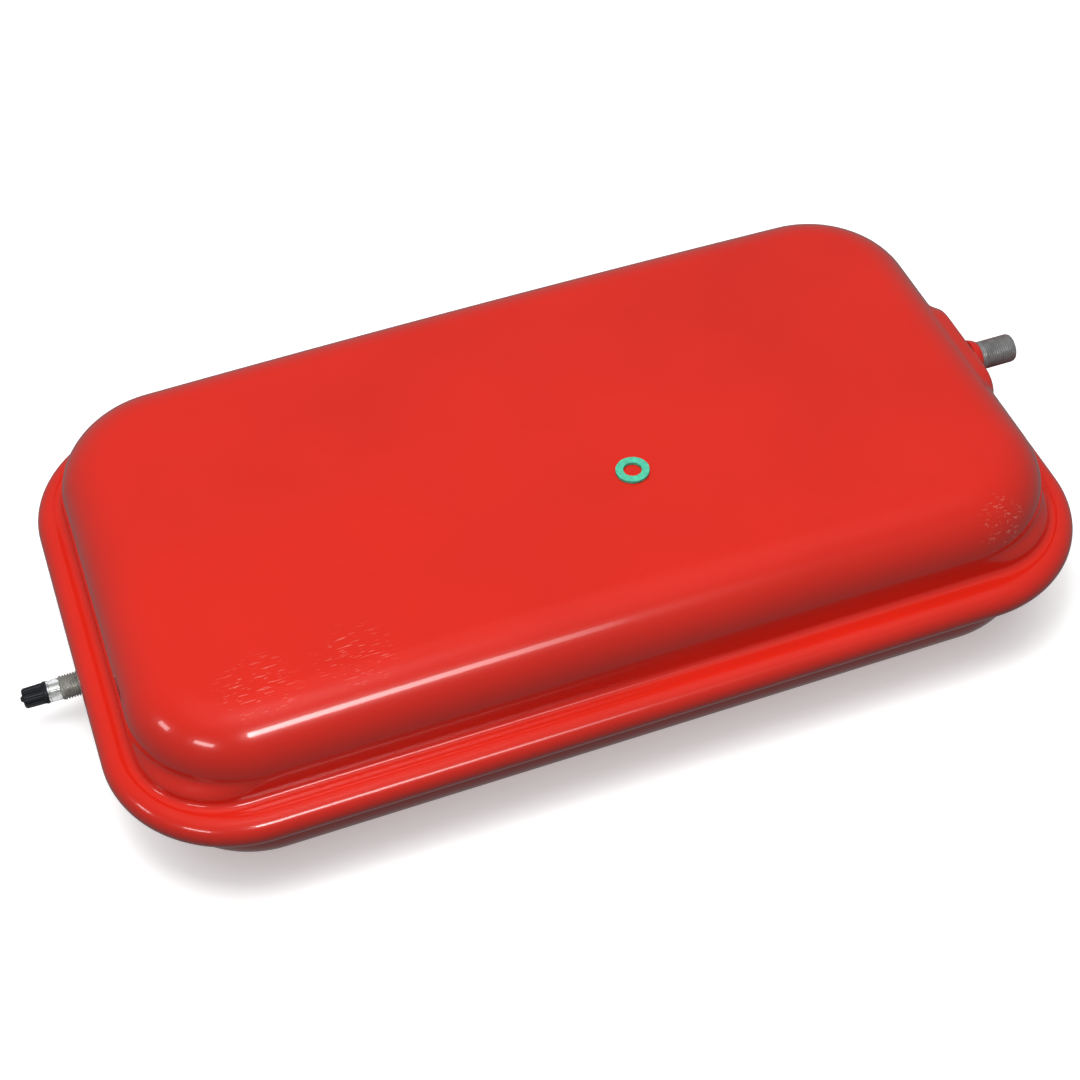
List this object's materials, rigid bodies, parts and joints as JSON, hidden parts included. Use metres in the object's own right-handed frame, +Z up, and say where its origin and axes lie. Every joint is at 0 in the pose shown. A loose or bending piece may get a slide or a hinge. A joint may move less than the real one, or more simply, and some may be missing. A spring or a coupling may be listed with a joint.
{
  "type": "expansion vessel",
  "caption": "Flat rectangular red expansion vessel: clenched steel half shells round a rubber diaphragm, threaded water stub, charging valve with cap, loose fibre washer.",
  "frame": {"origin": "middle of the flat face of the lower shell that the vessel rests on", "axes": "+X along the long side towards the threaded water stub, +Y along the short side, +Z up from the air-side shell to the water-side shell"},
  "size_m": [0.5962, 0.318, 0.1194],
  "materials": {
    "red_paint": "glossy powder coat with a slight orange peel",
    "stub_steel": "zinc-grey turned steel with a cut thread",
    "valve_steel": "zinc-plated turned steel",
    "core_brass": "turned brass",
    "core_steel": "drawn steel wire",
    "clear_plastic": "clear moulded plastic",
    "black_plastic": "moulded black plastic, semi-matte",
    "diaphragm_rubber": "matt moulded rubber",
    "seal_rubber": "matt rubber",
    "gasket_red": "smooth sealing plastic",
    "green_fibre": "pressed green fibre, matt"
  },
  "bodies": {
    "root": {"upper_shell": "red_paint", "lower_shell": "red_paint", "diaphragm_rim": "diaphragm_rubber", "water_stub": "stub_steel", "stub_weld": "red_paint", "valve_body": "valve_steel", "valve_weld": "red_paint", "clear_sleeve": "clear_plastic", "core_screw": "core_brass", "core_barrel": "core_brass", "barrel_gasket": "gasket_red"},
    "diaphragm": {"diaphragm_plateau": "diaphragm_rubber", "diaphragm_skirt": "diaphragm_rubber"},
    "valve_pin": {"core_pin": "core_brass", "pin_seal": "seal_rubber", "pin_cup": "core_brass", "core_spring": "core_steel"},
    "cap_disc": {"cap_seal": "seal_rubber"},
    "cap": {"valve_cap": "black_plastic"},
    "washer": {"fibre_washer": "green_fibre"}
  },
  "joints": [
    {"name": "diaphragm_travel", "type": "slide", "parent": "root", "child": "diaphragm", "axis": [0, 0, -1], "range_m": [0, 0.095], "stiffness_N_per_m": 2000, "deforming": ["diaphragm_skirt"]},
    {"name": "core_press", "type": "slide", "parent": "root", "child": "valve_pin", "axis": [1, 0, 0], "range_m": [0, 0.0012], "stiffness_N_per_m": 2500, "deforming": ["core_spring"]},
    {"name": "cap_travel", "type": "slide", "parent": "root", "child": "cap_disc", "axis": [-1, 0, 0], "range_m": [0, 0.00556]},
    {"name": "cap_turn", "type": "hinge", "parent": "cap_disc", "child": "cap", "pos_m": [-0.3, 0, 0.031], "axis": [-1, 0, 0], "range_deg": [0, 2520]},
    {"name": "washer_lift", "type": "slide", "parent": "root", "child": "washer", "axis": [0, 0, 1], "range_m": [0, 0.06]}
  ],
  "couplings": [
    {"joint": "cap_turn", "follows": "cap_travel", "rad_per_m": 7915.8}
  ]
}
